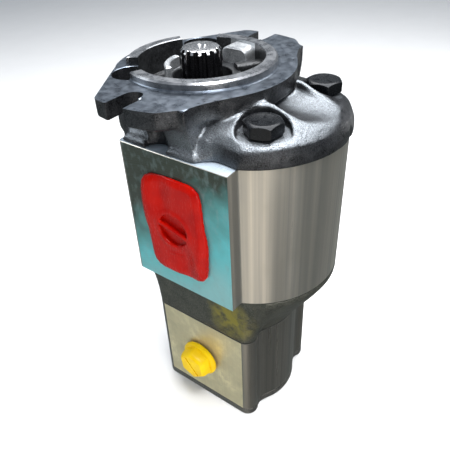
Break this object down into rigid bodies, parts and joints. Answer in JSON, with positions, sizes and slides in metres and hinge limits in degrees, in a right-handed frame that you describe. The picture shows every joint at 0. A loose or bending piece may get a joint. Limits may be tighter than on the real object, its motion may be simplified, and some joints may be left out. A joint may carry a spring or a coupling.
{
  "type": "hydraulic gear pump",
  "caption": "Tandem hydraulic gear pump: splined drive shaft, round pilot on a flange with slotted ears, cast cover, milled bodies and plugged side ports.",
  "frame": {"origin": "on the drive shaft axis at the outer face of the rear cover, which the pump stands on", "axes": "+Z along the drive shaft towards its splined end, X through the two flange ears and the port faces, idler gears on the -Y side"},
  "size_m": [0.1628, 0.1652, 0.2976],
  "materials": {
    "cast_cover": "oily black cast metal, machined grey on the flange face and pilot",
    "cast_adaptor": "dark olive grey sand casting",
    "cast_cover_rear": "dark grey plate with a bright cut edge",
    "body_aluminium": "extruded and milled aluminium, brushed along the shaft",
    "block_aluminium": "fine turned",
    "gear_steel": "ground and oiled steel",
    "spring_steel": "blued spring steel",
    "dowel_steel": "ground steel",
    "black_fastener": "black oxide, oiled",
    "bearing_bronze": "plain bearing bronze",
    "seal_rubber": "matte black",
    "red_plastic": "glossy moulded polyethylene",
    "yellow_plastic": "satin moulded polyethylene"
  },
  "bodies": {
    "housing": {"adaptor_dowel_left": "dowel_steel", "adaptor_dowel_right": "dowel_steel", "adaptor_housing": "cast_adaptor", "cover_dowel_left": "dowel_steel", "cover_dowel_right": "dowel_steel", "front_balance_seal_lower": "seal_rubber", "front_balance_seal_upper": "seal_rubber", "front_bearing_block_lower": "block_aluminium", "front_bearing_block_upper": "block_aluminium", "front_body_seal_lower": "seal_rubber", "front_body_seal_upper": "seal_rubber", "front_bush_drive_lower": "bearing_bronze", "front_bush_drive_upper": "bearing_bronze", "front_bush_idler_lower": "bearing_bronze", "front_bush_idler_upper": "bearing_bronze", "front_cover": "cast_cover", "front_hex_bolt_1": "black_fastener", "front_hex_bolt_2": "black_fastener", "front_hex_bolt_3": "black_fastener", "front_hex_bolt_4": "black_fastener", "front_port_plug_left": "red_plastic", "front_port_plug_right": "red_plastic", "front_pump_body": "body_aluminium", "rear_balance_seal_lower": "seal_rubber", "rear_balance_seal_upper": "seal_rubber", "rear_bearing_block_lower": "block_aluminium", "rear_bearing_block_upper": "block_aluminium", "rear_body_seal_lower": "seal_rubber", "rear_body_seal_upper": "seal_rubber", "rear_bush_drive_lower": "bearing_bronze", "rear_bush_drive_upper": "bearing_bronze", "rear_bush_idler_lower": "bearing_bronze", "rear_bush_idler_upper": "bearing_bronze", "rear_cover": "cast_cover_rear", "rear_cover_screw_1": "black_fastener", "rear_cover_screw_2": "black_fastener", "rear_cover_screw_3": "black_fastener", "rear_cover_screw_4": "black_fastener", "rear_dowel_left": "dowel_steel", "rear_dowel_right": "dowel_steel", "rear_plug_seal_left": "seal_rubber", "rear_plug_seal_right": "seal_rubber", "rear_port_plug_left": "yellow_plastic", "rear_port_plug_right": "yellow_plastic", "rear_pump_body": "body_aluminium", "seal_retaining_ring": "spring_steel", "shaft_seal": "seal_rubber"},
    "drive_shaft": {"drive_shaft_gear": "gear_steel", "shaft_coupling": "gear_steel"},
    "front_idler": {"front_idler_gear": "gear_steel"},
    "rear_drive": {"rear_drive_gear": "gear_steel"},
    "rear_idler": {"rear_idler_gear": "gear_steel"}
  },
  "joints": [
    {"name": "drive_shaft_spin", "type": "hinge", "parent": "housing", "child": "drive_shaft", "pos_m": [0, 0, 0.2], "axis": [0, 0, 1], "continuous": true},
    {"name": "front_idler_spin", "type": "hinge", "parent": "housing", "child": "front_idler", "pos_m": [0, -0.048, 0.2], "axis": [0, 0, 1], "continuous": true},
    {"name": "rear_drive_spin", "type": "hinge", "parent": "housing", "child": "rear_drive", "pos_m": [0, 0, 0.049], "axis": [0, 0, 1], "continuous": true},
    {"name": "rear_idler_spin", "type": "hinge", "parent": "housing", "child": "rear_idler", "pos_m": [0, -0.036, 0.049], "axis": [0, 0, 1], "continuous": true}
  ],
  "couplings": [
    {"joint": "front_idler_spin", "follows": "drive_shaft_spin", "ratio": -1},
    {"joint": "rear_drive_spin", "follows": "drive_shaft_spin", "ratio": 1},
    {"joint": "rear_idler_spin", "follows": "drive_shaft_spin", "ratio": -1}
  ]
}
